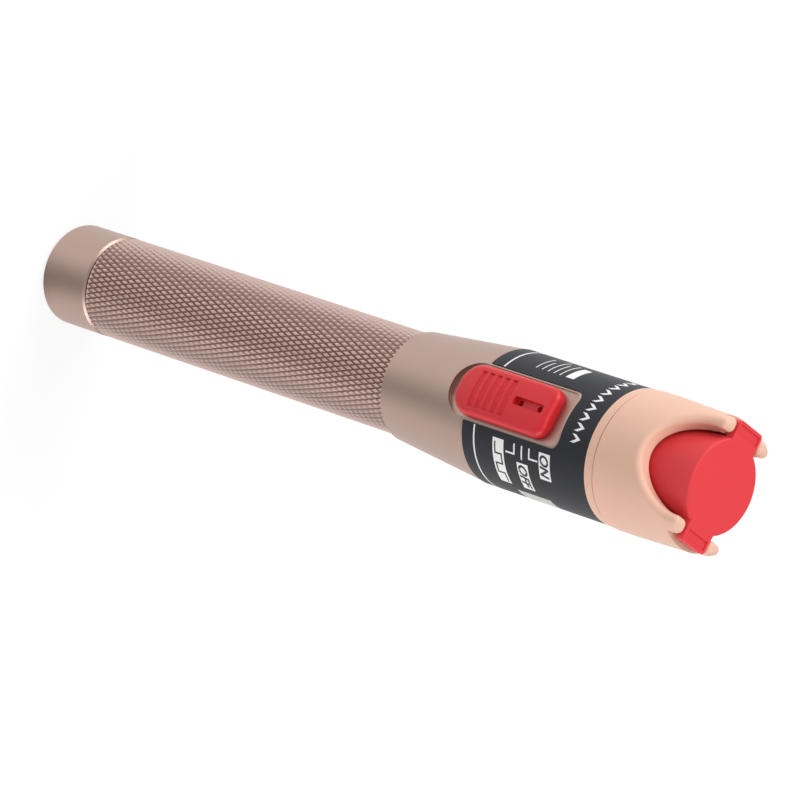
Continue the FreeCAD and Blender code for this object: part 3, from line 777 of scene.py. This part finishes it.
def make_floor():
    """Pale floor; reflections also see a dark strip that runs out from the pen beside the camera."""
    start_fresh()
    bpy.ops.mesh.primitive_plane_add(size=floor_size, location=(0, 0, 0))
    floor = bpy.context.active_object
    floor.name = "floor"
    finish = Finish("pale_floor", 0.9, Specular_IOR_Level=0.1, Base_Color=(0.86, 0.86, 0.86, 1))
    x, y, _ = finish.axes()
    side = math.radians(strip_azimuth)
    along = x * math.sin(side) - y * math.cos(side)
    across = x * math.cos(side) + y * math.sin(side)
    angle = finish.add("ShaderNodeMath", {"operation": "ARCTAN2"}, {0: across, 1: along})
    turned_away = finish.add("ShaderNodeMath", {"operation": "ABSOLUTE"}, {0: angle})
    pale = finish.ramp(turned_away, 0.0, math.radians(strip_half_angle))
    rays = finish.add("ShaderNodeLightPath", {}, {}).socket.node
    seen_by = ("Is Camera Ray", "Is Glossy Ray", "Is Transmission Ray")
    camera_ray, glossy_ray, clear_ray = (Field(finish, rays.outputs[name]) for name in seen_by)
    strength = floor_glow - glossy_ray * (1.0 - pale) * (floor_glow - strip_glow)
    glow = finish.add("ShaderNodeEmission", {}, {"Strength": strength})
    share = (camera_ray + glossy_ray + clear_ray) * glow_share
    mix = finish.tree.nodes.new("ShaderNodeMixShader")
    finish.tree.links.new(share.socket, mix.inputs[0])
    finish.tree.links.new(finish.shader.outputs[0], mix.inputs[1])
    finish.tree.links.new(glow.socket, mix.inputs[2])
    finish.tree.links.new(mix.outputs[0], finish.tree.nodes["Material Output"].inputs["Surface"])
    floor.data.materials.append(finish.material)
    print("floor:", finish.material.name)


make_floor()


# %% [markdown]
# The world has two faces. The camera sees plain white, which gives the clean background, while every
# other ray sees a dimmer fill, which leaves room for the lamps to model the shape.

# %% World and lamps
white = (1, 1, 1, 1)
world_fill = 0.45
lamp_aim = Vector((0, 0, mm(100)))
lamp_distance = 0.9


def make_world():
    world = bpy.data.worlds.new("studio")
    bpy.context.scene.world = world
    world.use_nodes = True
    tree = world.node_tree
    fill = tree.nodes["Background"]
    fill.inputs["Color"].default_value = white
    fill.inputs["Strength"].default_value = world_fill
    backdrop = tree.nodes.new("ShaderNodeBackground")
    backdrop.inputs["Color"].default_value = white
    backdrop.inputs["Strength"].default_value = 1.0
    rays = tree.nodes.new("ShaderNodeLightPath")
    mix = tree.nodes.new("ShaderNodeMixShader")
    tree.links.new(rays.outputs["Is Camera Ray"], mix.inputs[0])
    tree.links.new(fill.outputs[0], mix.inputs[1])
    tree.links.new(backdrop.outputs[0], mix.inputs[2])
    tree.links.new(mix.outputs[0], tree.nodes["World Output"].inputs["Surface"])


def make_lamp(name, azimuth, elevation, size, power):
    """Square soft lamp that faces the middle of the pen."""
    start_fresh()
    side = math.radians(azimuth)
    rise = math.radians(elevation)
    back = Vector((math.sin(side) * math.cos(rise), -math.cos(side) * math.cos(rise), math.sin(rise)))
    bpy.ops.object.light_add(type="AREA", location=lamp_aim + back * lamp_distance)
    lamp = bpy.context.active_object
    lamp.name = name
    lamp.data.size = size
    lamp.data.energy = power
    lamp.rotation_euler = back.to_track_quat("Z", "Y").to_euler()


make_world()
make_lamp("left_lamp", azimuth=-75, elevation=35, size=0.7, power=6.0)
make_lamp("right_lamp", azimuth=95, elevation=25, size=0.6, power=3.6)
make_lamp("top_lamp", azimuth=0, elevation=80, size=0.5, power=1.8)
print("lamps: 3")


# %% [markdown]
# The pen stands, yet the picture shows it lying across the view. Rather than lay it down, we roll the
# camera. A long lens from a metre away keeps the two ends of the pen nearly the same size.

# %% Camera
camera_elevation, camera_roll = 42.8, 108.6
camera_distance = 1.08
camera_aim = Vector((mm(6.8), mm(-14.1), mm(107.4)))
lens_length, sensor_width = 263.8, 36.0


def make_camera():
    """Camera that looks down along the standing pen, rolled so that the pen lies across the view."""
    azimuth, elevation = math.radians(camera_azimuth), math.radians(camera_elevation)
    back = Vector((math.sin(azimuth) * math.cos(elevation), -math.cos(azimuth) * math.cos(elevation),
                   math.sin(elevation)))
    bpy.ops.object.camera_add(location=camera_aim + back * camera_distance)
    camera = bpy.context.active_object
    turn = (Matrix.Rotation(azimuth, 4, "Z") @ Matrix.Rotation(math.pi / 2 - elevation, 4, "X")
            @ Matrix.Rotation(math.radians(camera_roll), 4, "Z"))
    camera.rotation_euler = turn.to_euler()
    camera.data.lens = lens_length
    camera.data.sensor_width = sensor_width
    bpy.context.scene.camera = camera


make_camera()
bpy.context.scene.view_settings.view_transform = "Standard"
print("camera:", bpy.context.scene.camera.name)
